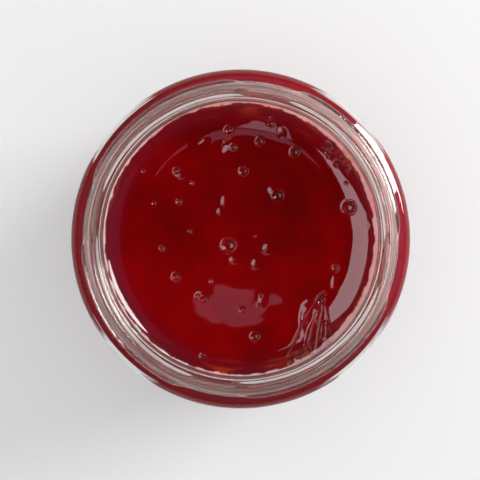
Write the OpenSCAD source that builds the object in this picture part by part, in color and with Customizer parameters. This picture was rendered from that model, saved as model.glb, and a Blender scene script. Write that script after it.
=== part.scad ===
// An open round glass jam jar with a four-lug twist-off finish, and the jam that fills it.
// Millimetres. +Z is up, and the origin is the centre of the base, on the plane the jar rests on.

/* [Body] */
// Height of the jar, from the plane it rests on to the top of the lip
jar_h = 96; // [78:1:130]
// Outer diameter of the body
body_d = 75.6; // [62:0.1:100]
// Thickness of the glass in the body wall
wall = 2.3; // [1.8:0.1:3.2]
// Outer rounding between the body and the neck
shoulder_r = 7; // [5.5:0.1:9]
// Outer rounding between the body and the base
heel_r = 6; // [4:0.5:8]

/* [Base] */
// Thickness of the glass in the middle of the base
base_t = 4; // [3:0.5:7]
// Height of the hollow under the base
push_up = 2; // [1:0.25:3]
// Width of the flat ring that the jar rests on
rest_w = 3; // [2:0.25:4]
// Rounding inside the jar, where the wall meets the floor
floor_r = 8; // [6:0.5:10]
// Height by which the floor inside is domed
floor_dome = 1.2; // [0.5:0.1:2]
// Width of the level ring round the floor's dome
floor_land = 1.5; // [0.5:0.1:3]

/* [Finish] */
// How far the neck stands in from the body
shoulder_w = 4.65; // [3.2:0.05:5.5]
// Height of the finish, from the shoulder to the lip
finish_h = 12.5; // [12:0.25:16]
// Thickness of the lip
lip_t = 2.05; // [1.7:0.05:2.8]
// Rounding of the lip's two edges
lip_r = 0.8; // [0.4:0.05:0.8]
// How much narrower in radius the bore is at its foot than at the lip
bore_taper = 0.7; // [0.2:0.1:1.2]
// Height of the bore's straight foot, above the shoulder
bore_foot_h = 3; // [2:0.5:5]
// Rounding inside, where the shoulder runs up into the bore
throat_r = 2.5; // [1.5:0.1:3.5]
// Hollow rounding outside, where the neck meets the shoulder
neck_fillet_r = 1.5; // [0.5:0.1:2]

/* [Lugs] */
// Number of lugs that hold the lid
lug_n = 4; // [3:1:6]
// How far a lug stands out from the neck
lug_out = 1.3; // [0.8:0.05:1.5]
// Height of a lug's cross-section
lug_t = 2.4; // [1.8:0.1:3]
// From the lip down to the middle of a lug's upper end
lug_top = 2.9; // [2.2:0.1:3.5]
// How far a lug falls from its upper end to its lower end
lug_fall = 2.6; // [1.5:0.1:3]
// Angle left open between one lug and the next
lug_gap = 7; // [4:1:20]
// Direction of the first lug's upper end
lug_turn = 76; // [0:1:90]

/* [Transfer bead] */
// How far the bead under the lugs stands out from the neck
bead_out = 1.25; // [0.8:0.05:1.6]
// Height of the bead
bead_h = 2.3; // [1.8:0.1:2.6]
// From the lip down to the top of the bead
bead_top = 8; // [7.6:0.1:9]

/* [Jam] */
// From the lip down to the jam in the middle of the mouth
fill_gap = 13.5; // [8:0.5:24]
// Radius of the jam's rise to the glass
meniscus_r = 5; // [2:0.25:8]
// Angle between the jam's edge and the glass
contact_angle = 25; // [15:1:60]

/* [Hidden] */
$fn = 96;

body_r = body_d / 2;
cavity_r = body_r - wall;
body_top = jar_h - finish_h;
neck_r = body_r - shoulder_w;
bore_r = neck_r - lip_t;
throat_bore_r = bore_r - bore_taper;

// The shoulder's outer and inner curves share one centre, so the wall keeps its thickness round it
shoulder_c = [body_r - shoulder_r, body_top - shoulder_r];
cavity_shoulder_r = shoulder_r - wall;

rest_outer_r = body_r - heel_r;
rest_inner_r = rest_outer_r - rest_w;
floor_mid = push_up + base_t;
floor_edge = floor_mid - floor_dome;
floor_dome_r = cavity_r - floor_r - floor_land;

jam_z = jar_h - fill_gap;
jam_climb = meniscus_r * (1 - sin(contact_angle));

lug_span = 360 / lug_n - lug_gap;
lug_rings = 26;
lug_sides = 6;
// Depth to which a lug's root is sunk in the neck, so that the two join
lug_root = 0.5;
// Share of a lug's length over which each end fades into the neck
lug_fade = 0.16;
// Share of a lug's length, from its lower end, that stays level
lug_level = 0.35;

// Radius of the sphere that rises by rise over a flat disc of radius r
function cap_r(r, rise) = (r * r + rise * rise) / (2 * rise);

function ease(x) = let (t = max(0, min(1, x))) t * t * (3 - 2 * t);

// Half section of a column that reaches from the axis out to r, with its outer edges rounded
module column(r, low, high, low_round, high_round) {
    translate([0, low]) square([r - low_round, low_round]);
    translate([0, low + low_round]) square([r, high - low - low_round - high_round]);
    translate([0, high - high_round]) square([r - high_round, high_round]);
    translate([r - low_round, low + low_round]) circle(r = low_round);
    translate([r - high_round, high - high_round]) circle(r = high_round);
}

// Half section of the hollow curve of radius f between a neck of radius r and the round shoulder
// of radius big below it, whose centre is at c. The curve bites a little into both, because
// surfaces that only touch make a poor join
module neck_fillet(r, big, c, f) {
    bite = 0.003;
    reach = big + f - bite;
    x = r + f - bite;
    centre = [x, c.y + sqrt(reach * reach - pow(x - c.x, 2))];
    inner = min(r, c.x) - f;
    difference() {
        polygon([[inner, c.y], c, centre, [inner, centre.y]]);
        translate(centre) circle(r = f);
    }
}

// Half section of the jar as if it were full of glass, with its foot hollowed
module outside_section() {
    difference() {
        union() {
            column(body_r, 0, body_top, heel_r, shoulder_r);
            column(neck_r, body_top - shoulder_r, jar_h, lip_r, lip_r);
            neck_fillet(neck_r, shoulder_r, shoulder_c, neck_fillet_r);
            bead_section();
        }
        foot_r = cap_r(rest_inner_r, push_up);
        translate([0, push_up - foot_r]) circle(r = foot_r, $fn = 256);
    }
}

// Half section of the ring below the lugs that the jar is carried by while it is made
module bead_section() {
    edge_r = bead_h * 0.4;
    column(neck_r + bead_out, jar_h - bead_top - bead_h, jar_h - bead_top, edge_r, edge_r);
}

// Half section of all the space inside the glass, open at the lip
module cavity_section() {
    difference() {
        union() {
            column(cavity_r, floor_edge, body_top - wall, floor_r, cavity_shoulder_r);
            bore_section();
            neck_fillet(throat_bore_r, cavity_shoulder_r, shoulder_c, throat_r);
        }
        dome_r = cap_r(floor_dome_r, floor_dome);
        translate([0, floor_mid - dome_r]) circle(r = dome_r, $fn = 256);
    }
}

// Half section of the bore, which widens from its straight foot to the lip's rounded edge
module bore_section() {
    over = 1;
    polygon([
        [0, shoulder_c.y],
        [throat_bore_r, shoulder_c.y],
        [throat_bore_r, body_top + bore_foot_h],
        [bore_r, jar_h - lip_r],
        [bore_r, jar_h + over],
        [0, jar_h + over],
    ]);
    difference() {
        translate([bore_r - lip_r, jar_h - lip_r]) square([2 * lip_r, lip_r + over]);
        translate([bore_r + lip_r, jar_h - lip_r]) circle(r = lip_r);
    }
}

// Half section below the jam's surface: level in the middle, and curving up to the glass
module fill_section() {
    rise_from = throat_bore_r - meniscus_r * cos(contact_angle);
    square([body_r, jam_z]);
    difference() {
        translate([rise_from, jam_z - 1]) square([body_r - rise_from, jam_climb + 1]);
        translate([rise_from, jam_z + meniscus_r]) circle(r = meniscus_r);
    }
}

// Height of a lug's middle at u, from 0 at its lower end to 1 at its upper end
function lug_z(u) = jar_h - lug_top - lug_fall * (1 - ease((u - lug_level) / (1 - lug_level)));

// How far a lug stands out at u. It sinks below the neck's surface at both ends
function lug_reach(u) =
    let (full = ease(u / lug_fade) * ease((1 - u) / lug_fade))
    lug_out * full - 0.6 * lug_root * (1 - full);

// Points of a lug's cross-section at u, from its lower root round to its upper root
function lug_ring(u) = [
    for (k = [0 : lug_sides])
        let (
            a = 180 * k / lug_sides - 90,
            depth = (lug_root + lug_reach(u)) * pow(max(cos(a), 0), 0.7),
            r = neck_r - lug_root + depth,
            turn = lug_span * (u - 1)
        )
        [r * cos(turn), r * sin(turn), lug_z(u) + lug_t / 2 * sin(a)]
];

// One lug: a rounded ridge that climbs round the neck, with its upper end in direction 0
module lug() {
    n = lug_sides + 1;
    points = [for (i = [0 : lug_rings]) each lug_ring(i / lug_rings)];
    skin = [
        for (i = [0 : lug_rings - 1], k = [0 : n - 1])
            let (next = (k + 1) % n)
            each [
                [i * n + k, i * n + next, (i + 1) * n + next],
                [i * n + k, (i + 1) * n + next, (i + 1) * n + k],
            ]
    ];
    first = [for (k = [n - 1 : -1 : 0]) k];
    last = [for (k = [0 : n - 1]) lug_rings * n + k];
    polyhedron(points, concat(skin, [first, last]), convexity = 4);
}

module jar() {
    color([0.86, 0.90, 0.89, 0.35]) {
        difference() {
            union() {
                rotate_extrude() outside_section();
                for (i = [0 : lug_n - 1]) rotate([0, 0, lug_turn + i * 360 / lug_n]) lug();
            }
            rotate_extrude() cavity_section();
        }
    }
}

module jam() {
    color([0.44, 0.0, 0.02]) {
        rotate_extrude() intersection() {
            cavity_section();
            fill_section();
        }
    }
}

jar();
jam();
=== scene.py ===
"""An open glass jar of red jam, dressed in Blender around its packed construction model.

The jar's glass is one turned body with lugs, a bead, mould seams and a knurled foot. The jam is one
body that reaches just into the glass, with a rise at the wall, dents and bubbles in its surface. The
sizes of both are in millimetres until a mesh is made from them. The studio's sizes are in metres.
"""

import logging
import math
from collections.abc import Callable, Sequence
from dataclasses import dataclass
from enum import Enum
from typing import Any

import bpy
import numpy as np
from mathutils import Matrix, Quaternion, Vector, noise


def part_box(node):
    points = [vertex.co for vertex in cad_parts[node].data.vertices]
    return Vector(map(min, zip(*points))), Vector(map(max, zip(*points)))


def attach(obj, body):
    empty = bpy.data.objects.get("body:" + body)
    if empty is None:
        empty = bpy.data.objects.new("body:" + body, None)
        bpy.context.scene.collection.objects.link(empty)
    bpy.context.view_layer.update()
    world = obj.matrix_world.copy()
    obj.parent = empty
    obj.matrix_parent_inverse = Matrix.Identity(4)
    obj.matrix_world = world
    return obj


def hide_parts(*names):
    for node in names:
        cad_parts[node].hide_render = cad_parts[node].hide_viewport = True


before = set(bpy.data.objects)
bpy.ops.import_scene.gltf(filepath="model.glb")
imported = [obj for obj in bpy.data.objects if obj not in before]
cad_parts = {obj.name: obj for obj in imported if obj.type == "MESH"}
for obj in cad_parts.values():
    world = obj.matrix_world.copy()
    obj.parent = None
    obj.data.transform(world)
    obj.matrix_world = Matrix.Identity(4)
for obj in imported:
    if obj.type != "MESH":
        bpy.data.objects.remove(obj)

MM = 0.001
# Radius of the circle along which a length round the Z axis is measured, in millimetres
TURN_RADIUS = 35.0
# Points of a turned body that lie closer than this are merged, in millimetres
MERGE_GAP = 0.002
# How far the jam's fine mesh reaches beyond a bubble or a thread, in millimetres
FINE_MARGIN = 0.25
BODY = "root"
LOG = logging.getLogger("jam_jar")

Point = tuple[float, float]
Span = tuple[float, float]
Grain = tuple[float, float, float]
Colour = tuple[float, float, float, float]
Rule = Callable[[np.ndarray], np.ndarray]


# Shader helpers


class Socket:
    """A shader value that Python's operators work on, adding Math nodes as they go."""

    def __init__(self, tree: "Shader", output: bpy.types.NodeSocket) -> None:
        """Wraps a node's output.

        Args:
            tree: The shader that the output belongs to.
            output: The output itself.
        """
        self.tree = tree
        self.output = output

    def _math(self, operation: str, *values: Any) -> "Socket":
        """Adds a Math node over the values and returns its result."""
        return self.tree.node("ShaderNodeMath", {"operation": operation}, *values)[0]

    def __add__(self, other: Any) -> "Socket":
        """Returns this plus another value."""
        return self._math("ADD", self, other)

    def __radd__(self, other: Any) -> "Socket":
        """Returns another value plus this."""
        return self._math("ADD", other, self)

    def __sub__(self, other: Any) -> "Socket":
        """Returns this minus another value."""
        return self._math("SUBTRACT", self, other)

    def __rsub__(self, other: Any) -> "Socket":
        """Returns another value minus this."""
        return self._math("SUBTRACT", other, self)

    def __mul__(self, other: Any) -> "Socket":
        """Returns this times another value."""
        return self._math("MULTIPLY", self, other)

    def __rmul__(self, other: Any) -> "Socket":
        """Returns another value times this."""
        return self._math("MULTIPLY", other, self)

    def __truediv__(self, other: Any) -> "Socket":
        """Returns this divided by another value."""
        return self._math("DIVIDE", self, other)

    def __pow__(self, other: Any) -> "Socket":
        """Returns this raised to a power."""
        return self._math("POWER", self, other)

    def between(self, low: float, high: float) -> "Socket":
        """Returns 0 below low, 1 above high, and a smooth step from one to the other.

        Args:
            low: The value at which the step starts.
            high: The value at which the step ends.

        Returns:
            The stepped value.
        """
        settings = {"interpolation_type": "SMOOTHSTEP"}
        return self.tree.node("ShaderNodeMapRange", settings, self, low, high)[0]
    def across(self, span: Span) -> "Socket":
        """Returns a length's smooth step from 0 to 1 over a span that is given in millimetres."""
        return self.between(span[0] * MM, span[1] * MM)


class Shader:
    """The node tree of a material or a world, with one method that adds any node."""

    def __init__(self, owner: bpy.types.Material | bpy.types.World, place: str = "Object") -> None:
        """Empties a new material's or world's node tree.

        Args:
            owner: The material or world.
            place: The name of the texture coordinates that its patterns follow.
        """
        owner.use_nodes = True
        self.owner = owner
        self.nodes = owner.node_tree.nodes
        self.links = owner.node_tree.links
        self.nodes.clear()
        self.place = self.node("ShaderNodeTexCoord", {})[place]

    def node(self, kind: str, settings: dict[str, Any], *values: Any, **named: Any) -> "Outputs":
        """Adds a node, sets it up and feeds its sockets.

        Args:
            kind: The node's type.
            settings: The node's own settings, or a colour ramp's stops, which are set first.
            *values: Numbers, vectors or sockets for its first inputs, in order.
            **named: The same for inputs by name, with underscores for spaces.

        Returns:
            The node's outputs.
        """
        made = self.nodes.new(kind)
        for key, value in settings.items():
            if key == "stops":
                self._set_stops(made.color_ramp, value)
            else:
                setattr(made, key, value)
        for index, value in enumerate(values):
            self._feed(made.inputs[index], value)
        for key, value in named.items():
            self._feed(made.inputs[key.replace("_", " ")], value)
        return Outputs(self, made)

    def _feed(self, target: bpy.types.NodeSocket, value: Any) -> None:
        """Gives an input its value.

        Args:
            target: The input.
            value: A socket to link, a plain value to set, or None to leave the input as it is.
        """
        if isinstance(value, Socket):
            self.links.new(value.output, target)
        elif value is not None:
            target.default_value = value

    @staticmethod
    def _set_stops(ramp: bpy.types.ColorRamp, stops: Sequence[tuple[float, Colour]]) -> None:
        """Sets a colour ramp's stops.

        Args:
            ramp: The ramp.
            stops: The place of each stop, from 0 to 1, and its colour.
        """
        while len(ramp.elements) < len(stops):
            ramp.elements.new(1.0)
        for element, (place, colour) in zip(ramp.elements, stops):
            element.position = place
            element.color = colour

    def axes(self) -> tuple[Socket, Socket, Socket]:
        """Returns the X, Y and Z of the place being shaded."""
        split = self.node("ShaderNodeSeparateXYZ", {}, self.place)
        return split[0], split[1], split[2]

    def out(self) -> Socket:
        """Returns the distance of the place being shaded from the Z axis."""
        x, y, _ = self.axes()
        return (x * x + y * y) ** 0.5

    def turn(self) -> Socket:
        """Returns the direction of the place being shaded from the Z axis, in radians."""
        x, y, _ = self.axes()
        return self.node("ShaderNodeMath", {"operation": "ARCTAN2"}, y, x)[0]

    def noise(self, size_mm: float, detail: float = 2.0) -> Socket:
        """Returns a noise value whose features are about size_mm across."""
        return self.node("ShaderNodeTexNoise", {}, self.place, Scale=1 / (size_mm * MM),
                         Detail=detail)["Fac"]

    def streaks(self, grain: Grain, detail: float = 2.0) -> Socket:
        """Adds noise that is drawn out round the Z axis.

        Args:
            grain: Lengths of its features round, up and out from the axis, in millimetres.
            detail: The noise's detail.

        Returns:
            The noise value.
        """
        around, up, out = grain
        place = self.node("ShaderNodeCombineXYZ", {}, self.turn() * (TURN_RADIUS / around),
                          self.axes()[2] / (up * MM), self.out() / (out * MM))[0]
        return self.node("ShaderNodeTexNoise", {}, place, Scale=1.0, Detail=detail)["Fac"]

    def blend(self, factor: Any, low: Any, high: Any) -> Socket:
        """Mixes two colours.

        Args:
            factor: How much of the second colour shows, from 0 to 1.
            low: The first colour.
            high: The second colour.

        Returns:
            The mixed colour.
        """
        mix = self.nodes.new("ShaderNodeMix")
        mix.data_type = "RGBA"
        for index, value in ((0, factor), (6, low), (7, high)):
            self._feed(mix.inputs[index], value)
        return Socket(self, mix.outputs[2])

    def bump(self, height: Socket, depth_mm: float, normal: Socket | None = None) -> Socket:
        """Returns a normal bumped by a height from 0 to 1 over depth_mm."""
        return self.node("ShaderNodeBump", {}, Strength=1.0, Distance=depth_mm * MM,
                         Height=height, Normal=normal)["Normal"]

    def finish(self, surface: Socket, volume: Socket | None = None) -> bpy.types.Material:
        """Links the shaders to the material's output and returns the material."""
        self.node("ShaderNodeOutputMaterial", {}, surface, volume)
        return self.owner


class Outputs:
    """A node's outputs, by place or by name."""

    def __init__(self, tree: Shader, made: bpy.types.Node) -> None:
        """Keeps the node whose outputs these are."""
        self.tree = tree
        self.made = made

    def __getitem__(self, key: int | str) -> Socket:
        """Returns one output as a Socket."""
        return Socket(self.tree, self.made.outputs[key])


# Finishes. A span that ends in _up is a height and one that ends in _out is a distance from the Z
# axis, both in millimetres. A mask goes from 0 to 1 over a _cut


@dataclass(frozen=True)
class ClearGlass:
    """Clear glass, a little green through its thick parts and slightly wavy.

    The neck's glass is dragged into fine lines round the axis, some of them brown. Four ragged arcs
    of painted reflection lie on the shoulder's corner, where a metallic finish mirrors the surroundings.
    """

    tint: Colour = (0.78, 0.86, 0.74, 1.0)
    tint_per_m: float = 14.0
    ior: float = 1.52
    wave_mm: float = 9.0
    wave_depth_mm: float = 0.03
    neck_up: Span = (83.6, 84.6)
    drag_grain: Grain = (40.0, 0.6, 0.8)
    drag_depth_mm: float = 0.028
    clear: Colour = (1.0, 1.0, 1.0, 1.0)
    striae: Colour = (0.50, 0.43, 0.37, 1.0)
    striae_grain: Grain = (60.0, 0.42, 0.42)
    striae_cut: Span = (0.50, 0.66)
    # Painted reflection: four metallic arcs on the shoulder's corner mirror the bright surroundings.
    arc_n: int = 4
    arc_turn: float = 47.0
    arc_out: Span = (36.4, 36.7)
    arc_up: Span = (79.6, 80.4)
    arc_grain: Grain = (7.0, 0.35, 0.35)
    arc_ragged: float = 2.2
    arc_cut: Span = (0.50, 0.70)
    arc_painted_reflection: float = 0.8

    def _painted_reflection_arcs(self, shader: Shader) -> Socket:
        """Masks the ragged arcs on the shoulder's corner, where a metallic finish paints bright
        reflections.

        Args:
            shader: The glass's shader.

        Returns:
            The mask, from 0 to 1.
        """
        lobes = shader.node("ShaderNodeMath", {"operation": "COSINE"},
                            (shader.turn() - math.radians(self.arc_turn)) * self.arc_n)[0]
        ragged = (shader.streaks(self.arc_grain, detail=5.0) - 0.5) * self.arc_ragged
        corner = shader.out().across(self.arc_out) * shader.axes()[2].across(self.arc_up)
        return (lobes + ragged).between(*self.arc_cut) * corner

    def material(self) -> bpy.types.Material:
        """Builds the glass material.

        Returns:
            The material.
        """
        shader = Shader(bpy.data.materials.new("clear_glass"))
        neck = shader.axes()[2].across(self.neck_up)
        wave = shader.bump(shader.noise(self.wave_mm, detail=1.0), self.wave_depth_mm)
        drag = shader.streaks(self.drag_grain, detail=2.5) * neck
        lines = shader.streaks(self.striae_grain, detail=3.0).between(*self.striae_cut) * neck
        surface = shader.node(
            "ShaderNodeBsdfPrincipled", {},
            Base_Color=shader.blend(lines, self.clear, self.striae), Roughness=0.0, IOR=self.ior,
            # Painted reflection on the shoulder's corner, by a metallic finish in the arcs.
            Metallic=self._painted_reflection_arcs(shader) * self.arc_painted_reflection,
            Transmission_Weight=1.0, Normal=shader.bump(drag, self.drag_depth_mm, wave),
        )[0]
        volume = shader.node("ShaderNodeVolumeAbsorption", {}, self.tint, self.tint_per_m)[0]
        return shader.finish(surface, volume)


@dataclass(frozen=True)
class RedJam:
    """Set red fruit jam: deep red, with a wet gloss, and painted lighter where light gets into it.

    Its lean is the direction away from the key light, along which a painted glow lightens it. The
    orange glow painted over thin places ends over thin_west, a span towards -X, and the pale film,
    painted as light through the jam's thin edge, widens over film_east, a span towards +X, both in
    millimetres.
    """

    # Painted light: deep is the jam's red, and bright is a painted glow on the side away from the key
    # light.
    deep: Colour = (0.150, 0.0001, 0.0006, 1.0)
    bright: Colour = (0.275, 0.0002, 0.0012, 1.0)
    lean: Point = (-0.62, -0.78)
    lean_mm: float = 30.0
    lean_share: float = 0.30
    cloud_mm: float = 15.0
    cloud_share: float = 2.6
    cloud_offset: float = 0.85
    bright_cut: Span = (-0.1, 1.1)
    # Painted light: the edge colours near the glass are a painted purple reflection tint, lighter on the
    # key light's side.
    edge: Colour = (0.25, 0.0008, 0.0080, 1.0)
    painted_edge_far: Colour = (0.150, 0.0006, 0.0070, 1.0)
    edge_out: Span = (24.0, 30.0)
    edge_cut: Span = (-0.5, 0.8)
    # Painted glow: orange streaks near the glass stand in for light shining through thin jam.
    thin: Colour = (0.40, 0.028, 0.008, 1.0)
    thin_out: Span = (26.0, 29.5)
    thin_grain: Grain = (9.0, 9.0, 1.0)
    thin_cut: Span = (0.50, 0.66)
    thin_west: Span = (2.0, 12.0)
    # Painted glow: the pale film at the glass stands in for light shining through the jam's thin edge.
    film: Colour = (0.84, 0.60, 0.58, 1.0)
    film_out: Span = (29.74, 29.94)
    film_share: float = 0.9
    film_grain: Grain = (3.0, 5.0, 1.0)
    film_ragged_mm: float = 1.6
    film_east: Span = (4.0, 24.0)
    film_widening_mm: float = 0.45
    side: Colour = (0.27, 0.0010, 0.0034, 1.0)
    # Painted reflection: a purple tint under the shoulder stands in for light reflected in the glass.
    painted_side_top: Colour = (0.25, 0.011, 0.021, 1.0)
    side_up: Span = (72.0, 79.0)
    # Painted sheen: a pale, rough metallic patch under the throat stands in for light reflected through
    # the neck's glass.
    painted_sheen: Colour = (0.86, 0.74, 0.70, 1.0)
    painted_sheen_up: Span = (80.0, 81.0)
    painted_sheen_out: Span = (34.2, 34.8)
    painted_sheen_grain: Grain = (40.0, 0.5, 0.25)
    painted_sheen_least: float = 0.25
    painted_sheen_streaks: float = 0.5
    gloss_roughness: float = 0.03
    side_roughness: float = 0.15
    painted_sheen_roughness: float = 0.4
    ior: float = 1.42
    scatter: tuple[float, float, float] = (1.0, 0.06, 0.05)
    scatter_mm: float = 3.0

    def _colour(self, shader: Shader) -> Socket:
        """Mixes the open surface's colour.

        A painted glow makes it brighter away from the key light, with random clouds of tone. Towards
        the glass it takes a painted purple edge tint, lighter on the key light's side, a painted orange
        glow where light shines through thin places, and a ragged pale film, painted as light shining
        through the jam's thin edge.

        Args:
            shader: The jam's shader.

        Returns:
            The colour.
        """
        x, y, _ = shader.axes()
        out = shader.out()
        lean = (x * self.lean[0] + y * self.lean[1]) / (self.lean_mm * MM)
        cloud = shader.noise(self.cloud_mm, detail=3.0) * self.cloud_share - self.cloud_offset
        # Painted glow: lighter away from the key light along the lean, with random clouds of tone.
        body = shader.blend((lean * self.lean_share + cloud).between(*self.bright_cut),
                            self.deep, self.bright)
        # Painted edge tint near the glass: purple for reflected light, lighter on the key light's side.
        edge = shader.blend(lean.between(*self.edge_cut), self.edge, self.painted_edge_far)
        body = shader.blend(out.across(self.edge_out), body, edge)
        # Painted orange glow where light shines through thin jam, kept off the -X side.
        streak = shader.streaks(self.thin_grain, detail=3.0).between(*self.thin_cut)
        thin = out.across(self.thin_out) * streak * (1.0 - (x * -1.0).across(self.thin_west))
        body = shader.blend(thin, body, self.thin)
        # Painted pale film at the glass, light shining through the thin edge, wider towards +X.
        ragged = (shader.streaks(self.film_grain, detail=4.0) - 0.5) * (self.film_ragged_mm * MM)
        ragged = ragged + x.across(self.film_east) * (self.film_widening_mm * MM)
        film = (out + ragged).across(self.film_out) * self.film_share
        return shader.blend(film, body, self.film)

    def _body(self, shader: Shader, colour: Socket, roughness: Any, **more: Any) -> bpy.types.Material:
        """Finishes a jam shader with a body that light sinks into.

        Args:
            shader: The shader.
            colour: Its colour.
            roughness: Its roughness.
            **more: Any further inputs, by name.

        Returns:
            The material.
        """
        surface = shader.node(
            "ShaderNodeBsdfPrincipled", {}, Base_Color=colour, Roughness=roughness, IOR=self.ior,
            Subsurface_Weight=1.0, Subsurface_Radius=self.scatter,
            Subsurface_Scale=self.scatter_mm * MM, **more,
        )[0]
        return shader.finish(surface)

    def surface(self) -> bpy.types.Material:
        """Builds the material of the jam's open surface."""
        shader = Shader(bpy.data.materials.new("red_jam"))
        return self._body(shader, self._colour(shader), self.gloss_roughness)

    def behind_glass(self) -> bpy.types.Material:
        """Builds the material of the jam that touches glass, which has no gloss of its own.

        A painted purple tint lies under the shoulder, and a pale, rough metallic finish under the
        throat is a painted sheen for light reflected through the neck's glass.

        Returns:
            The material.
        """
        shader = Shader(bpy.data.materials.new("red_jam_behind_glass"))
        z = shader.axes()[2]
        # Painted reflection: purple towards the shoulder, for light reflected in the glass.
        side = shader.blend(z.across(self.side_up), self.side, self.painted_side_top)
        throat = z.across(self.painted_sheen_up) * (1.0 - shader.out().across(self.painted_sheen_out))
        streaks = shader.streaks(self.painted_sheen_grain, detail=3.0)
        # Painted sheen under the throat, pale and metallic, in streaks.
        painted_sheen = throat * (self.painted_sheen_least + self.painted_sheen_streaks * streaks)
        return self._body(
            shader, shader.blend(painted_sheen, side, self.painted_sheen),
            self.side_roughness + self.painted_sheen_roughness * throat,
            Metallic=painted_sheen, Specular_IOR_Level=0.0)


# Modelling helpers


def deselect_all() -> None:
    """Leaves edit mode and deselects every object."""
    if bpy.context.object and bpy.context.object.mode != "OBJECT":
        bpy.ops.object.mode_set(mode="OBJECT")
    bpy.ops.object.select_all(action="DESELECT")


def turned(name: str, outline: Sequence[Point], segments: int) -> bpy.types.Object:
    """Extrudes a point along a half section and spins that about the Z axis into a closed body.

    Args:
        name: The new object's name.
        outline: Radius and height of each point, in millimetres, from the axis to the axis.
        segments: Number of steps in the spin.

    Returns:
        The new object, at the origin, with its faces pointing outwards.
    """
    deselect_all()
    bpy.ops.mesh.primitive_plane_add(size=MM, location=(0, 0, 0))
    made = bpy.context.active_object
    made.name = made.data.name = name
    bpy.ops.object.mode_set(mode="EDIT")
    bpy.ops.mesh.select_all(action="SELECT")
    bpy.ops.mesh.merge(type="CENTER")
    bpy.ops.transform.translate(value=(outline[0][0] * MM, 0, outline[0][1] * MM))
    for (r0, z0), (r1, z1) in zip(outline, outline[1:]):
        step = ((r1 - r0) * MM, 0, (z1 - z0) * MM)
        bpy.ops.mesh.extrude_region_move(TRANSFORM_OT_translate={"value": step})
    bpy.ops.mesh.select_all(action="SELECT")
    bpy.ops.mesh.spin(steps=segments, angle=2 * math.pi, center=(0, 0, 0), axis=(0, 0, 1))
    bpy.ops.mesh.select_all(action="SELECT")
    bpy.ops.mesh.remove_doubles(threshold=MERGE_GAP * MM)
    bpy.ops.mesh.normals_make_consistent(inside=False)
    bpy.ops.object.mode_set(mode="OBJECT")
    bpy.ops.object.shade_smooth()
    return made


def reshape(made: bpy.types.Object, rule: Rule) -> None:
    """Moves every point of a mesh as a rule says.

    Args:
        made: The object.
        rule: Takes the points in millimetres, one row each, and returns them moved.
    """
    mesh = made.data
    points = np.empty(len(mesh.vertices) * 3)
    mesh.vertices.foreach_get("co", points)
    moved = rule(points.reshape(-1, 3) / MM) * MM
    mesh.vertices.foreach_set("co", moved.ravel())
    mesh.update()


def ease(x: np.ndarray) -> np.ndarray:
    """Returns a smooth step from 0 to 1 as x goes from 0 to 1."""
    t = np.clip(x, 0.0, 1.0)
    return t * t * (3 - 2 * t)


def bell(x: np.ndarray) -> np.ndarray:
    """Returns a smooth hump, 1 at x = 0 and 0 from x = 1 and x = -1 outwards."""
    return 0.5 + 0.5 * np.cos(math.pi * np.clip(x, -1.0, 1.0))

def waves(points: np.ndarray, size_mm: float, seed: int) -> np.ndarray:
    """Returns smooth noise from about -1 to 1 at each point, with features of size_mm."""
    shift = Vector((seed * 7.3, seed * 3.1, seed * 5.7))
    return np.array([noise.noise(Vector(p) / size_mm + shift) for p in points])


def turn_apart(turn: np.ndarray, other: float) -> np.ndarray:
    """Returns the angle between directions round the Z axis and another one, in degrees."""
    return np.abs((turn - other + 180.0) % 360.0 - 180.0)


def pushed(points: np.ndarray, out: np.ndarray, up: np.ndarray) -> np.ndarray:
    """Moves points away from the Z axis and upwards.

    Args:
        points: The points, one row each.
        out: How far each moves away from the axis.
        up: How far each moves up.

    Returns:
        The moved points.
    """
    x, y, z = points.T
    r = np.hypot(x, y)
    grown = (r + out) / np.maximum(r, 1e-9)
    return np.column_stack((x * grown, y * grown, z + up))


def choose_faces(made: bpy.types.Object, rule: Rule) -> None:
    """Enters edit mode with some of a mesh's faces selected.

    Args:
        made: The object.
        rule: Takes the middles of the faces in millimetres and says which to select.
    """
    deselect_all()
    bpy.context.view_layer.objects.active = made
    made.select_set(True)
    bpy.ops.object.mode_set(mode="EDIT")
    bpy.ops.mesh.select_mode(type="FACE")
    bpy.ops.mesh.select_all(action="DESELECT")
    bpy.ops.object.mode_set(mode="OBJECT")
    faces = made.data.polygons
    middles = np.empty(len(faces) * 3)
    faces.foreach_get("center", middles)
    faces.foreach_set("select", rule(middles.reshape(-1, 3) / MM))
    bpy.ops.object.mode_set(mode="EDIT")


def hang(made: bpy.types.Object, finishes: Sequence[bpy.types.Material]) -> None:
    """Gives a piece its materials and hangs it on the body.

    Args:
        made: The piece.
        finishes: Its materials, in the order of its material slots.
    """
    for place, finish in enumerate(finishes):
        if place < len(made.data.materials):
            made.data.materials[place] = finish
        else:
            made.data.materials.append(finish)
    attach(made, BODY)


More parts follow.
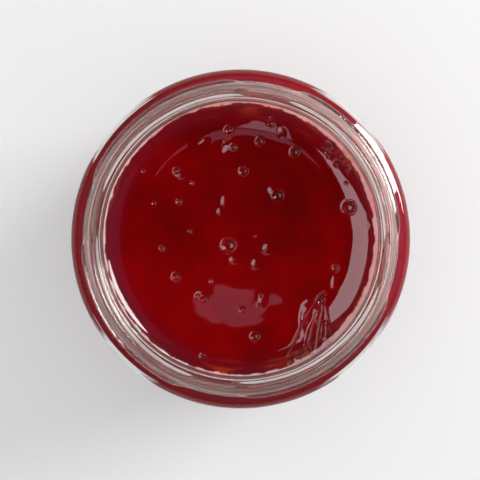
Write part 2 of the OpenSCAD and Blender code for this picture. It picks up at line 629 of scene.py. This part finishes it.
class Outline:
    """A half section drawn from point to point, in millimetres."""

    def __init__(self, radius: float, height: float) -> None:
        """Starts the outline at a point."""
        self.points: list[Point] = [(radius, height)]

    def to(self, radius: float, height: float, step: float = math.inf) -> "Outline":
        """Draws a straight line to a point.

        Args:
            radius: The point's distance from the axis.
            height: The point's height.
            step: The greatest distance between points along the line.

        Returns:
            The same outline.
        """
        r0, z0 = self.points[-1]
        length = math.hypot(radius - r0, height - z0)
        count = max(1, math.ceil(length / step))
        if length > 1e-6:
            for i in range(1, count + 1):
                t = i / count
                self.points.append((r0 + (radius - r0) * t, z0 + (height - z0) * t))
        return self

    def arc(self, centre: Point, radius: float, start: float, end: float, steps: int) -> "Outline":
        """Draws an arc, after a line to its start.

        Args:
            centre: The arc's centre.
            radius: The arc's radius.
            start: The angle at which it starts, in degrees.
            end: The angle at which it ends.
            steps: Number of straight steps in it.

        Returns:
            The same outline.
        """
        for i in range(steps + 1):
            a = math.radians(start + (end - start) * i / steps)
            self.to(centre[0] + radius * math.cos(a), centre[1] + radius * math.sin(a))
        return self

    def dome(self, rim: float, low: float, rise: float, steps: int, outwards: bool) -> "Outline":
        """Draws a shallow dome over a disc.

        Args:
            rim: The disc's radius.
            low: The disc's height.
            rise: How far the dome's middle stands above the disc.
            steps: Number of straight steps in the dome.
            outwards: Whether to draw from the middle to the rim, and not from the rim to the middle.

        Returns:
            The same outline.
        """
        big = (rim * rim + rise * rise) / (2 * rise)
        half = math.degrees(math.asin(rim / big))
        start, end = (90.0, 90.0 - half) if outwards else (90.0 - half, 90.0)
        return self.arc((0.0, low + rise - big), big, start, end, steps)


# The glass


@dataclass
class Jar:
    """The glass jar: one turned body with lugs, a bead, seams and a knurled foot.

    The slope, the turns, the gap between lugs and the seams' width are in degrees. The lugs' fade and
    level are shares of their length. Steps are the straight parts of an arc, and a step is the
    greatest distance between points along a line.
    """

    height: float
    body_r: float
    wall: float = 2.3
    shoulder_slope: float = 22.0
    corner_r: float = 2.4
    inner_corner_r: float = 3.0
    heel_r: float = 6.0
    base_t: float = 4.0
    push_up: float = 2.0
    rest_w: float = 3.0
    floor_r: float = 8.0
    floor_dome: float = 1.2
    floor_land: float = 1.5
    shoulder_w: float = 4.65
    finish_h: float = 12.5
    lip_t: float = 2.05
    lip_r: float = 0.95
    bore_taper: float = 1.0
    bore_foot_h: float = 3.0
    throat_r: float = 2.5
    neck_fillet_r: float = 1.5
    lug_n: int = 4
    lug_out: float = 1.3
    lug_top: float = 2.9
    lug_fall: float = 2.2
    lug_gap: float = 7.0
    lug_turn: float = 76.0
    lug_fade: float = 0.16
    lug_level: float = 0.35
    bead_out: float = 1.25
    bead_crest: float = 8.6
    ridge_up: float = 0.9
    ridge_down: float = 2.6
    ridge_blunt: float = 0.8
    seam_turn: float = 38.0
    seam_width: float = 0.9
    seam_out: float = 0.07
    knurls: int = 88
    knurl_depth: float = 0.15
    knurl_share: float = 0.55
    uneven: float = 0.08
    uneven_size: float = 11.0
    uneven_drawn: float = 0.5
    segments: int = 352
    dome_steps: int = 24
    floor_steps: int = 16
    heel_steps: int = 14
    corner_steps: int = 12
    throat_steps: int = 10
    lip_steps: int = 7
    wall_step: float = 3.0
    floor_step: float = 1.0
    bore_step: float = 0.6
    throat_step: float = 0.4
    foot_step: float = 0.44
    neck_step: float = 0.22

    def __post_init__(self) -> None:
        """Works out the sizes that follow from the driving ones."""
        self.cavity_r = self.body_r - self.wall
        self.body_top = self.height - self.finish_h
        self.neck_r = self.body_r - self.shoulder_w
        self.bore_r = self.neck_r - self.lip_t
        self.throat_bore_r = self.bore_r - self.bore_taper
        self.neck_c = self._under_slope(self.neck_r + self.neck_fillet_r, self.neck_fillet_r)
        self.corner_c = self._under_slope(self.body_r - self.corner_r, -self.corner_r)
        self.throat_c = self._under_slope(
            self.throat_bore_r + self.throat_r, self.throat_r - self.wall)
        self.inner_corner_c = self._under_slope(
            self.cavity_r - self.inner_corner_r, -self.inner_corner_r - self.wall)
        self.rest_outer_r = self.body_r - self.heel_r
        self.rest_inner_r = self.rest_outer_r - self.rest_w
        self.floor_mid = self.push_up + self.base_t
        self.floor_edge = self.floor_mid - self.floor_dome

    def _under_slope(self, radius: float, above: float) -> Point:
        """Returns the point at a radius that stands some way above the shoulder's slope."""
        a = math.radians(self.shoulder_slope)
        return radius, self.body_top + (above - (radius - self.neck_r) * math.sin(a)) / math.cos(a)

    def _outside(self) -> Outline:
        """Draws the outside, from the middle of the foot to the top of the lip.

        Returns:
            The outline.
        """
        line = Outline(0.0, self.push_up)
        line.dome(self.rest_inner_r, 0.0, self.push_up, self.dome_steps, outwards=True)
        line.to(self.rest_outer_r, 0.0, self.foot_step)
        line.arc((self.rest_outer_r, self.heel_r), self.heel_r, -90.0, 0.0, self.heel_steps)
        line.to(self.body_r, self.corner_c[1], self.wall_step)
        steep = 90.0 - self.shoulder_slope
        line.arc(self.corner_c, self.corner_r, 0.0, steep, self.corner_steps)
        line.arc(self.neck_c, self.neck_fillet_r, 180.0 + steep, 180.0, self.lip_steps)
        line.to(self.neck_r, self.height - self.lip_r, self.neck_step)
        lip = (self.neck_r - self.lip_r, self.height - self.lip_r)
        return line.arc(lip, self.lip_r, 0.0, 90.0, self.lip_steps)

    def inside(self, line: Outline, reach: float = 0.0, lip: bool = True) -> Outline:
        """Adds the inside to an outline, from the lip or the throat down to the middle of the floor.

        Args:
            line: The outline to add to.
            reach: How far beyond the inside's own surface to draw it.
            lip: Whether to start at the lip, and not at the throat.

        Returns:
            The same outline.
        """
        if lip:
            edge = (self.bore_r + self.lip_r, self.height - self.lip_r)
            line.arc(edge, self.lip_r, 90.0, 180.0, self.lip_steps)
            line.to(self.throat_bore_r, self.body_top + self.bore_foot_h, self.bore_step)
        steep = 90.0 - self.shoulder_slope
        line.to(self.throat_bore_r + reach, self.throat_c[1], self.throat_step)
        line.arc(self.throat_c, self.throat_r - reach, 180.0, 180.0 + steep, self.throat_steps)
        line.arc(self.inner_corner_c, self.inner_corner_r + reach, steep, 0.0, self.corner_steps)
        corner = (self.cavity_r - self.floor_r, self.floor_edge + self.floor_r)
        line.to(self.cavity_r + reach, corner[1], self.wall_step)
        line.arc(corner, self.floor_r + reach, 0.0, -90.0, self.corner_steps)
        dome_r = corner[0] - self.floor_land
        line.to(dome_r, self.floor_edge - reach, self.floor_step)
        return line.dome(
            dome_r, self.floor_edge - reach, self.floor_dome, self.floor_steps, outwards=False)

    def _ridge(self, above: np.ndarray) -> np.ndarray:
        """Returns a ridge's share of its full height: steep above the crest, and long below it."""
        reach = np.where(above > 0.0, self.ridge_up, self.ridge_down)
        return bell(above / reach) ** self.ridge_blunt

    def _lug(self, turn: np.ndarray, z: np.ndarray, top: float) -> np.ndarray:
        """Raises one lug, which climbs round the neck and fades at both ends.

        Args:
            turn: The direction of each point, in degrees.
            z: The height of each point.
            top: The direction of the lug's upper end.

        Returns:
            How far the lug stands out at each point.
        """
        span = 360.0 / self.lug_n - self.lug_gap
        u = 1.0 - (top - turn) % 360.0 / span
        rise = ease((u - self.lug_level) / (1 - self.lug_level))
        crest = self.height - self.lug_top - self.lug_fall * (1 - rise)
        full = ease(u / self.lug_fade) * ease((1 - u) / self.lug_fade)
        return self.lug_out * full * self._ridge(z - crest)

    def _detail(self, points: np.ndarray) -> np.ndarray:
        """Raises the bead, the lugs and the seams, and cuts the knurls under the foot.

        Args:
            points: The glass's points, one row each.

        Returns:
            The moved points.
        """
        x, y, z = points.T
        r = np.hypot(x, y)
        turn = np.degrees(np.arctan2(y, x))
        outer = r > self.neck_r - 0.05
        neck = outer & (z > self.body_top + 0.1) & (z < self.height - self.lip_r + 0.01)
        out = np.where(neck, self.bead_out * self._ridge(z - self.height + self.bead_crest), 0.0)
        for i in range(self.lug_n):
            lug = self._lug(turn, z, self.lug_turn + i * 360.0 / self.lug_n)
            out = np.maximum(out, np.where(neck, lug, 0.0))
        for side in (self.seam_turn, self.seam_turn + 180.0):
            seam = self.seam_out * bell(turn_apart(turn, side) / self.seam_width)
            out += np.where(outer & (z > 1.0), seam, 0.0)
        foot = (z < 0.5) & (r > self.rest_inner_r - 0.3) & (r < self.rest_outer_r + 0.3)
        middle = (self.rest_inner_r + self.rest_outer_r) / 2
        across = bell((r - middle) / (self.rest_w * self.knurl_share))
        groove = 0.5 + 0.5 * np.cos(np.radians(turn) * self.knurls)
        return pushed(points, out, np.where(foot, self.knurl_depth * groove * across, 0.0))

    def _unevenness(self, points: np.ndarray) -> np.ndarray:
        """Makes the inner wall a little uneven, as blown glass is.

        Args:
            points: The glass's points, one row each.

        Returns:
            The moved points.
        """
        x, y, z = points.T
        r = np.hypot(x, y)
        inner = (r < self.cavity_r + 0.2) & (z > self.floor_edge + 1.0) & (z < self.height - 1.0)
        inner &= (z <= self.body_top) | (r < self.neck_r - 0.5)
        out = np.zeros_like(r)
        drawn = points[inner] * (1.0, 1.0, self.uneven_drawn)
        out[inner] = self.uneven * waves(drawn, self.uneven_size, 3)
        return pushed(points, out, np.zeros_like(r))

    def build(self) -> bpy.types.Object:
        """Builds the glass.

        Returns:
            The glass, without its material.
        """
        made = turned("jar_glass", self.inside(self._outside()).points, self.segments)
        reshape(made, self._detail)
        reshape(made, self._unevenness)
        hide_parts("jar")
        return made


# The jam


@dataclass(frozen=True)
class Bubble:
    """A bubble that has opened in the surface: a round pit with a raised rim.

    Its depth and the height of its rim are shares of its size, which is its width.
    """

    x: float
    y: float
    size: float
    depth: float = 0.24
    rim: float = 0.035

    def lift(self, x: np.ndarray, y: np.ndarray) -> np.ndarray:
        """Returns how far the bubble moves the surface at each place."""
        r = np.hypot(x - self.x, y - self.y) / (self.size / 2)
        return self.size * (self.rim * bell((r - 1.1) / 0.24) - self.depth * (1 - np.clip(r, 0, 1) ** 3))

    def near(self, x: np.ndarray, y: np.ndarray) -> np.ndarray:
        """Returns which places need a fine mesh for this bubble."""
        return np.hypot(x - self.x, y - self.y) < self.size * 0.72 + FINE_MARGIN


@dataclass(frozen=True)
class Patch:
    """An oval patch of the surface, with its length turned away from the X axis by some degrees.

    Its length and width are measured from its middle.
    """

    x: float
    y: float
    height: float
    length: float
    width: float
    turn: float = 0.0

    def _from_middle(self, x: np.ndarray, y: np.ndarray) -> np.ndarray:
        """Measures how far places lie from the patch's middle.

        Args:
            x: The places' X.
            y: The places' Y.

        Returns:
            The distances, as shares of the way to the oval's edge.
        """
        a = math.radians(self.turn)
        along = ((x - self.x) * math.cos(a) + (y - self.y) * math.sin(a)) / self.length
        across = ((y - self.y) * math.cos(a) - (x - self.x) * math.sin(a)) / self.width
        return np.hypot(along, across)


@dataclass(frozen=True)
class Lump(Patch):
    """A smooth lump in the surface, or a dent where its height is below zero."""

    def lift(self, x: np.ndarray, y: np.ndarray) -> np.ndarray:
        """Returns how far the lump moves the surface at each place."""
        return self.height * np.exp(-2.0 * self._from_middle(x, y) ** 2)

    def near(self, x: np.ndarray, y: np.ndarray) -> np.ndarray:
        """Returns which places need a fine mesh for this lump, which are none if it is broad."""
        near = np.hypot(x - self.x, y - self.y) < max(self.length, self.width) * 1.3
        return near & (min(self.length, self.width) <= 2.5)


@dataclass(frozen=True)
class Shelf(Patch):
    """A patch of stiff jam that has kept nearly level where the surface round it rises."""

    level_share: float = 0.85
    rough: float = 0.14
    rough_size: float = 1.3

    def share(self, x: np.ndarray, y: np.ndarray) -> np.ndarray:
        """Returns how far each place belongs to the shelf, from 0 to 1."""
        return ease((1.0 - self._from_middle(x, y)) / 0.3)

    def near(self, x: np.ndarray, y: np.ndarray) -> np.ndarray:
        """Returns which places need a fine mesh for this shelf."""
        return self.share(x, y) > 0.0


@dataclass(frozen=True)
class Strand:
    """A thin raised thread of jam, drawn from point to point."""

    points: tuple[Point, ...]
    height: float = 0.16
    width: float = 0.32

    def _distance(self, x: np.ndarray, y: np.ndarray) -> np.ndarray:
        """Measures how far places lie from the thread.

        Args:
            x: The places' X.
            y: The places' Y.

        Returns:
            The distances.
        """
        best = np.full(x.shape, math.inf)
        for (x0, y0), (x1, y1) in zip(self.points, self.points[1:]):
            dx, dy = x1 - x0, y1 - y0
            t = np.clip(((x - x0) * dx + (y - y0) * dy) / (dx * dx + dy * dy), 0.0, 1.0)
            best = np.minimum(best, np.hypot(x - x0 - t * dx, y - y0 - t * dy))
        return best

    def lift(self, x: np.ndarray, y: np.ndarray) -> np.ndarray:
        """Returns how far the thread moves the surface at each place."""
        return self.height * bell(self._distance(x, y) / self.width)

    def near(self, x: np.ndarray, y: np.ndarray) -> np.ndarray:
        """Returns which places need a fine mesh for this thread."""
        return self._distance(x, y) < self.width + FINE_MARGIN


CLUSTER = tuple(Bubble(x, y, size, depth=0.3, rim=0.07) for x, y, size in (
    (19.0, 20.4, 1.7), (20.8, 20.0, 1.7), (22.3, 18.4, 2.1), (24.0, 16.9, 1.7),
    (21.2, 16.6, 1.3), (19.3, 18.5, 1.1), (24.6, 18.8, 1.4), (22.6, 20.6, 1.2),
))
BUBBLES = (
    Bubble(-2.6, -1.4, 3.0, depth=0.16), Bubble(23.9, 7.0, 2.8, depth=0.18), Bubble(8.3, 9.7, 2.4),
    Bubble(0.7, 15.0, 1.9), Bubble(-2.6, 24.1, 1.8), Bubble(-1.5, 20.3, 1.5),
    Bubble(4.3, 21.6, 1.8), Bubble(12.0, 19.2, 2.0), Bubble(6.7, 25.8, 1.8),
    Bubble(-14.1, 15.0, 1.5), Bubble(-10.8, 12.4, 0.9), Bubble(-13.6, 8.2, 1.1),
    Bubble(-19.2, 7.9, 0.8), Bubble(-11.2, 1.7, 0.8), Bubble(-17.4, -2.0, 1.1),
    Bubble(-14.3, -8.4, 1.7), Bubble(-6.6, -9.3, 0.8), Bubble(-8.1, -13.3, 1.5),
    Bubble(-9.5, -12.6, 1.1), Bubble(4.5, -12.6, 0.9), Bubble(4.1, -14.6, 1.0),
    Bubble(0.3, -15.7, 1.3), Bubble(3.2, -21.5, 1.9), Bubble(-8.5, -25.9, 1.5),
    Bubble(21.1, -6.4, 1.4), Bubble(18.9, -18.6, 1.4), Bubble(17.8, -13.7, 1.6),
    Bubble(23.3, 12.3, 0.9), Bubble(3.2, 0.6, 0.6), Bubble(-21.6, 15.0, 0.8),
    Bubble(28.0, -11.6, 1.4), Bubble(27.6, -13.5, 1.4), Bubble(12.6, -26.6, 1.5),
    Bubble(10.9, -27.6, 1.2), Bubble(14.2, -25.6, 1.3),
) + CLUSTER
LUMPS = (
    Lump(6.0, -1.9, 0.16, 1.5, 1.1, 30.0), Lump(3.3, -5.3, 0.15, 1.2, 0.9, 60.0),
    Lump(-1.6, -4.6, 0.13, 1.0, 0.8, 0.0), Lump(-3.6, 8.4, 0.12, 1.4, 0.8, 80.0),
    Lump(-4.6, 6.1, 0.10, 0.9, 0.7, 60.0), Lump(7.0, 10.6, 0.16, 1.3, 1.0, 120.0),
    Lump(-13.2, 14.2, 0.14, 1.3, 0.9, 20.0), Lump(-4.4, 20.2, -0.16, 2.6, 1.8, 40.0),
    Lump(-9.2, 21.6, -0.10, 2.4, 0.8, 35.0), Lump(9.2, 23.6, 0.14, 1.3, 0.9, 100.0),
    Lump(14.6, 23.0, 0.14, 1.2, 0.8, 50.0), Lump(-8.6, -12.4, 0.16, 1.6, 1.2, 0.0),
    Lump(20.6, -9.6, 0.12, 1.6, 0.6, 85.0), Lump(4.8, -13.4, 0.14, 1.8, 1.1, 80.0),
    Lump(20.6, 19.4, 0.50, 1.1, 0.9, 40.0), Lump(22.6, 17.2, 0.50, 1.0, 0.9, 130.0),
    Lump(19.0, 20.6, 0.40, 0.9, 0.8, 20.0), Lump(23.9, 15.0, 0.40, 1.0, 0.7, 60.0),
    Lump(21.7, 20.4, 0.55, 1.0, 0.8, 100.0), Lump(24.0, 17.6, 0.40, 0.8, 0.8),
    Lump(12.6, -25.6, 0.55, 1.6, 1.2, 20.0), Lump(14.6, -24.6, 0.35, 1.2, 0.9, 70.0),
)
SHELF = Shelf(16.3, -20.4, 0.50, 7.6, 3.3, 102.0)
STRANDS = (
    Strand(((17.2, -13.0), (14.2, -17.6), (12.0, -22.2), (10.6, -25.6)), 0.26, 0.34),
    Strand(((17.8, -14.2), (16.2, -18.4), (15.2, -22.4), (14.8, -26.0)), 0.18, 0.30),
    Strand(((18.3, -14.6), (17.4, -19.0), (17.0, -22.0), (16.6, -25.2)), 0.18, 0.30),
    Strand(((18.8, -15.0), (19.6, -19.4), (20.6, -22.6), (18.6, -25.0)), 0.16, 0.34),
    Strand(((17.2, -12.6), (18.4, -11.6), (19.0, -12.2)), 0.16, 0.28),
    Strand(((16.6, -16.4), (14.8, -20.0), (14.0, -23.4)), 0.14, 0.26),
)


@dataclass
class Jam:
    """The jam: one body that fills the jar, with a rise at the glass, dents and bubbles."""

    jar: Jar
    fill_gap: float = 13.5
    climb: float = 2.5
    fade: float = 2.8
    reach: float = 0.12
    swell: float = 0.035
    swell_size: float = 9.0
    ripple: float = 0.008
    ripple_size: float = 3.0
    creep: float = 1.4
    creep_size: float = 9.0
    creep_fine: float = 0.35
    creep_fine_size: float = 2.6
    creep_lowest: float = -1.2
    creep_fade: float = 0.6
    creep_reach: float = 5.2
    even_turn: float = 205.0
    even_spread: float = 28.0
    even_share: float = 0.98
    segments: int = 304
    ring_step: float = 0.36
    fine_rim: float = 4.0
    fine_step: float = 0.2

    def __post_init__(self) -> None:
        """Works out the level, the wall's radius inside the glass and the contact line's height."""
        self.level = self.jar.height - self.fill_gap
        self.edge = self.jar.throat_bore_r + self.reach
        self.contact = self.level + float(self._rise(np.array(self.edge)))

    def _rise(self, r: np.ndarray) -> np.ndarray:
        """Returns how far the surface stands above its level at a radius."""
        return self.climb * np.exp(-(self.jar.throat_bore_r - r) / self.fade)

    def _outline(self) -> list[Point]:
        """Draws the jam from the middle of its surface to the middle of the floor.

        Returns:
            The outline's points.
        """
        line = Outline(0.0, self.level)
        turn = self.edge - self.fine_rim
        flat = np.arange(self.ring_step, turn, self.ring_step)
        for r in (*flat, *np.linspace(turn, self.edge, round(self.fine_rim / self.fine_step) + 1)):
            line.to(float(r), self.level + float(self._rise(r)))
        return self.jar.inside(line, self.reach, lip=False).points

    def _is_top(self, points: np.ndarray) -> np.ndarray:
        """Finds the points on the open surface.

        Args:
            points: The points, one row each.

        Returns:
            Which points lie there.
        """
        x, y, z = points.T
        r = np.hypot(x, y)
        return (z > self.level - 0.01 + self._rise(r) * 0.8) & (r < self.edge - 0.05)

    def _is_busy(self, points: np.ndarray) -> np.ndarray:
        """Finds the points where a fine mesh is needed.

        Args:
            points: The points, one row each.

        Returns:
            Which points lie there.
        """
        x, y, _ = points.T
        busy = np.zeros(x.shape, bool)
        for mark in (*BUBBLES, *LUMPS, *STRANDS, SHELF):
            busy |= mark.near(x, y)
        return busy & self._is_top(points)

    def _creep(self, x: np.ndarray, y: np.ndarray) -> np.ndarray:
        """Works out how far the jam has crept up or down the glass, which is even on one side.

        Args:
            x: The places' X.
            y: The places' Y.

        Returns:
            How far it has crept up at each place.
        """
        at = np.column_stack((x, y, np.zeros_like(x))) / np.hypot(x, y)[:, None] * self.edge
        off = turn_apart(np.degrees(np.arctan2(y, x)), self.even_turn)
        share = 1.0 - self.even_share * ease(1.6 - off / self.even_spread)
        ragged = waves(at, self.creep_size, 11) + self.creep_fine * waves(at, self.creep_fine_size, 12)
        return np.maximum(self.creep * share * ragged, self.creep_lowest)

    def _surface(self, points: np.ndarray) -> np.ndarray:
        """Shapes the top of the jam.

        Args:
            points: The jam's points, one row each.

        Returns:
            The moved points.
        """
        x, y, z = points.T
        r = np.hypot(x, y)
        top = self._is_top(points)
        px, py = x[top], y[top]
        flat = points[top] * (1, 1, 0)
        lift = np.zeros_like(r)
        lift[top] = self.swell * waves(flat, self.swell_size, 5)
        lift[top] += self.ripple * waves(flat, self.ripple_size, 8)
        level = SHELF.level_share * (SHELF.height - self._rise(r[top]))
        rough = SHELF.rough * waves(flat, SHELF.rough_size, 21)
        lift[top] += SHELF.share(px, py) * (level + rough)
        for mark in BUBBLES + LUMPS + STRANDS:
            lift[top] += mark.lift(px, py)
        low = self.jar.throat_c[1]
        rim = (r > self.edge - self.creep_reach) & (z > low)
        depth = np.clip((z[rim] - low) / (self.contact - low), 0.0, 1.0)
        inwards = np.where(top[rim], np.exp(-(self.edge - r[rim]) / self.creep_fade), depth)
        lift[rim] += self._creep(x[rim], y[rim]) * inwards
        return np.column_stack((x, y, z + lift))

    def build(self) -> bpy.types.Object:
        """Builds the jam.

        Returns:
            The jam, with its second material's slot on the faces at the glass.
        """
        made = turned("jam_fill", self._outline(), self.segments)
        choose_faces(made, self._is_busy)
        bpy.ops.mesh.subdivide(number_cuts=2)
        bpy.ops.object.mode_set(mode="OBJECT")
        made.data.materials.append(None)
        made.data.materials.append(None)
        choose_faces(made, lambda middles: ~self._is_top(middles))
        made.active_material_index = 1
        bpy.ops.object.material_slot_assign()
        bpy.ops.object.mode_set(mode="OBJECT")
        reshape(made, self._surface)
        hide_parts("jam")
        return made


# The studio


class PanelShape(Enum):
    """The outline of a soft light."""

    RECTANGLE = "RECTANGLE"
    ELLIPSE = "ELLIPSE"


@dataclass(frozen=True)
class Panel:
    """A soft light that faces the jar's mouth.

    Its azimuth, its angle from straight up and its roll about its own axis are in degrees. It may
    light matt surfaces, show in glossy ones, or both.
    """

    name: str
    azimuth: float
    zenith: float
    width: float
    length: float
    radiance: float
    distance: float = 1.0
    colour: tuple[float, float, float] = (1.0, 1.0, 1.0)
    lights: bool = True
    shows: bool = True
    shape: PanelShape = PanelShape.RECTANGLE
    roll: float = 0.0

    def build(self, target: Vector) -> None:
        """Adds the light.

        Args:
            target: The point that it is aimed at.
        """
        a, t = math.radians(self.azimuth), math.radians(self.zenith)
        away = Vector((math.cos(a) * math.sin(t), math.sin(a) * math.sin(t), math.cos(t)))
        deselect_all()
        bpy.ops.object.light_add(type="AREA", location=target + away * self.distance)
        light = bpy.context.active_object
        light.name = self.name
        roll = Quaternion((0, 0, 1), math.radians(self.roll))
        light.rotation_euler = (away.to_track_quat("Z", "Y") @ roll).to_euler()
        light.data.shape = self.shape.value
        light.data.size = self.width
        light.data.size_y = self.length
        light.data.color = self.colour
        light.visible_diffuse = self.lights
        light.visible_glossy = self.shows
        light.data.energy = self.radiance * math.pi * self.width * self.length


@dataclass
class Studio:
    """A pale floor, soft panels round a dark zenith, and the camera straight above."""

    target: Vector
    camera_place: tuple[float, float, float] = (-0.00014, -0.00024, 0.396)
    lens_mm: float = 106.3
    sensor_mm: float = 36.0
    near_clip: float = 0.01
    floor_size: float = 8.0
    floor_colour: Colour = (0.80, 0.80, 0.80, 1.0)
    floor_glow: float = 0.24
    floor_roughness: float = 0.9
    floor_gloss: float = 0.2
    sky: tuple[tuple[float, Colour], ...] = (
        (0.0, (1.0, 1.0, 1.0, 1.0)), (0.20, (0.85, 0.85, 0.86, 1.0)),
        (0.42, (0.22, 0.22, 0.23, 1.0)), (0.985, (0.02, 0.02, 0.02, 1.0)),
    )
    bounces: tuple[tuple[str, int], ...] = (
        ("max", 24), ("transmission", 24), ("glossy", 8), ("diffuse", 4))
    panels: tuple[Panel, ...] = (
        Panel("key", azimuth=27, zenith=62, width=0.50, length=0.21, radiance=17.5, shows=False),
        Panel("glint", azimuth=27, zenith=60, width=0.58, length=0.25, radiance=19.0,
              lights=False, shape=PanelShape.ELLIPSE, roll=12.0),
        Panel("left", azimuth=170, zenith=25, width=0.55, length=0.585, radiance=5.2,
              colour=(1.0, 0.92, 0.98), lights=False),
        Panel("south", azimuth=257, zenith=14.0, width=0.09, length=0.20, radiance=2.9,
              colour=(1.0, 0.66, 0.84), lights=False),
        Panel("near", azimuth=269, zenith=4.9, width=0.110, length=0.082, radiance=1.4,
              colour=(1.0, 0.50, 0.72), lights=False),
        Panel("right", azimuth=14, zenith=42, width=1.5, length=0.95, radiance=0.26,
              distance=1.4, colour=(1.0, 0.42, 1.0), lights=False),
        Panel("fill", azimuth=0, zenith=0, width=1.0, length=1.0, radiance=2.0, shows=False),
    )

    def _floor(self) -> None:
        """Lays the floor."""
        deselect_all()
        bpy.ops.mesh.primitive_plane_add(size=self.floor_size, location=(0, 0, 0))
        floor = bpy.context.active_object
        floor.name = "floor"
        shader = Shader(bpy.data.materials.new("pale_floor"))
        surface = shader.node(
            "ShaderNodeBsdfPrincipled", {}, Base_Color=self.floor_colour,
            Roughness=self.floor_roughness, Specular_IOR_Level=self.floor_gloss,
            Emission_Color=self.floor_colour, Emission_Strength=self.floor_glow,
        )[0]
        floor.data.materials.append(shader.finish(surface))

    def _world(self) -> None:
        """Sets the surroundings: bright at the horizon and dark overhead."""
        world = bpy.data.worlds.new("studio")
        bpy.context.scene.world = world
        shader = Shader(world, "Generated")
        sky = shader.node("ShaderNodeValToRGB", {"stops": self.sky}, shader.axes()[2])[0]
        light = shader.node("ShaderNodeBackground", {}, sky, 1.0)[0]
        shader.node("ShaderNodeOutputWorld", {}, light)

    def _camera(self) -> None:
        """Hangs the camera over the jar's mouth, looking straight down."""
        deselect_all()
        bpy.ops.object.camera_add(location=self.camera_place, rotation=(0, 0, 0))
        camera = bpy.context.active_object
        camera.name = "camera"
        camera.data.lens = self.lens_mm
        camera.data.sensor_width = self.sensor_mm
        camera.data.clip_start = self.near_clip
        bpy.context.scene.camera = camera

    def build(self) -> None:
        """Sets up the studio."""
        scene = bpy.context.scene
        scene.view_settings.view_transform = "Standard"
        for kind, count in self.bounces:
            setattr(scene.cycles, f"{kind}_bounces", count)
        self._floor()
        self._world()
        self._camera()
        for panel in self.panels:
            panel.build(self.target)


def main() -> None:
    logging.basicConfig(level=logging.INFO, format="%(name)s: %(message)s")
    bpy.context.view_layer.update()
    low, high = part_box("jar")
    jar = Jar(height=high.z / MM, body_r=(high.x - low.x) / 2 / MM)
    glass = jar.build()
    hang(glass, [ClearGlass().material()])
    LOG.info("glass: %d faces", len(glass.data.polygons))
    fill = Jam(jar).build()
    hang(fill, [RedJam().surface(), RedJam().behind_glass()])
    LOG.info("jam: %d faces", len(fill.data.polygons))
    Studio(target=Vector((0, 0, high.z))).build()


if __name__ == "__main__":
    main()
